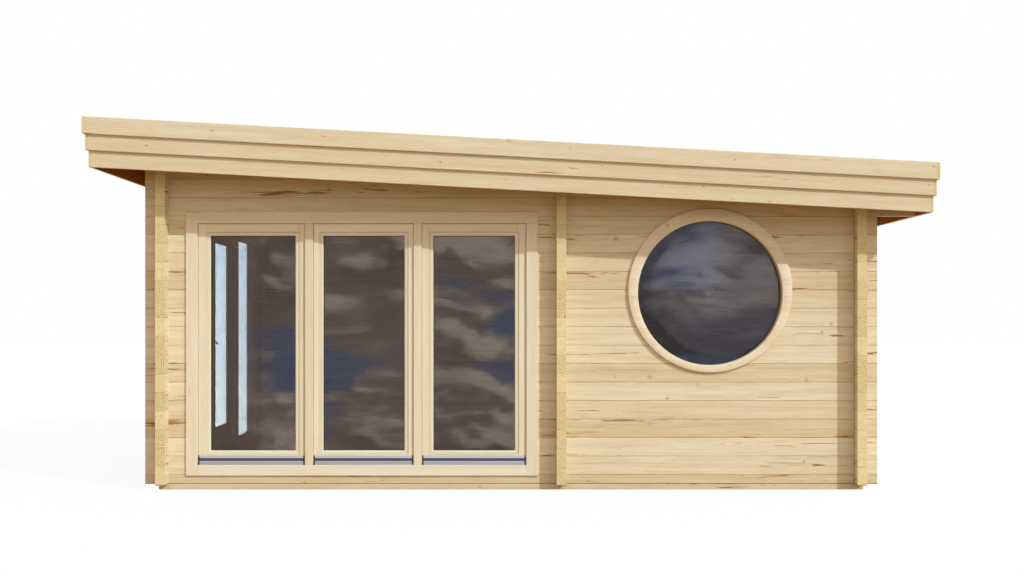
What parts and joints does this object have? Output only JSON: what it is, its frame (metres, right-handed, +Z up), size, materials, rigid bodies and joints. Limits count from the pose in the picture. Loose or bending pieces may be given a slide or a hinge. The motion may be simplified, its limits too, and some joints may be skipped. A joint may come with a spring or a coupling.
{
  "type": "sauna cabin",
  "caption": "Garden sauna cabin of solid logs with two rooms, a wide front window, a round window, a glazed end door and a low mono-pitch roof with deep eaves.",
  "frame": {"origin": "on the ground, under the middle of the roof and of the walls' plan", "axes": "+X to the right along the long front wall, +Y from the front wall to the back wall, +Z up"},
  "size_m": [6.014, 4.444, 2.6673],
  "materials": {
    "log_wood": "planed spruce logs, bare, with a fine V at each joint",
    "base_wood": "sawn and planed spruce, bare",
    "floor_wood": "planed spruce floor boards, bare",
    "joinery_wood": "finely planed pale pine, bare",
    "window_glass": "clear sealed double glazing",
    "aluminium": "satin mill finish",
    "black_steel": "black powder coat, satin",
    "roof_wood": "planed spruce boards and beams, bare",
    "insulation": "rigid foam board",
    "roof_membrane": "dark sheet membrane, matt",
    "fascia_wood": "planed spruce boards, bare"
  },
  "bodies": {
    "cabin": {"base_beams_long": "base_wood", "base_beams_cross": "base_wood", "floor_joists": "base_wood", "floor_lounge": "floor_wood", "floor_sauna": "floor_wood", "front_wall": "log_wood", "back_wall": "log_wood", "right_wall": "log_wood", "left_wall_front_part": "log_wood", "left_wall_back_part": "log_wood", "left_wall_door_logs": "log_wood", "partition_front_part": "log_wood", "partition_back_part": "log_wood", "partition_door_logs": "log_wood", "partition_lining": "joinery_wood", "front_window_frame": "joinery_wood", "front_window_inner_trim": "joinery_wood", "front_sash_left": "joinery_wood", "front_sash_middle": "joinery_wood", "front_sash_right": "joinery_wood", "front_window_glass": "window_glass", "front_drip_bars": "aluminium", "round_window_ring": "joinery_wood", "round_window_sleeve": "joinery_wood", "round_window_inner_ring": "joinery_wood", "round_window_glass": "window_glass", "entrance_frame": "joinery_wood", "entrance_inner_trim": "joinery_wood", "side_light_glass": "window_glass", "entrance_threshold": "aluminium", "frame_hinge_halves": "aluminium", "purlins": "roof_wood", "eaves_joists": "roof_wood", "roof_boards": "roof_wood", "roof_insulation": "insulation", "roof_membrane": "roof_membrane", "fascia_front": "fascia_wood", "fascia_back": "fascia_wood", "fascia_left": "fascia_wood", "fascia_right": "fascia_wood"},
    "door": {"door_leaf": "joinery_wood", "door_glass": "window_glass", "door_drip_bar": "aluminium", "door_handles": "black_steel", "door_hinge_halves": "aluminium"}
  },
  "joints": [
    {"name": "door_hinge", "type": "hinge", "parent": "cabin", "child": "door", "pos_m": [-2.597, 0.4725, 1], "axis": [0, 0, -1], "range_deg": [0, 100]}
  ]
}
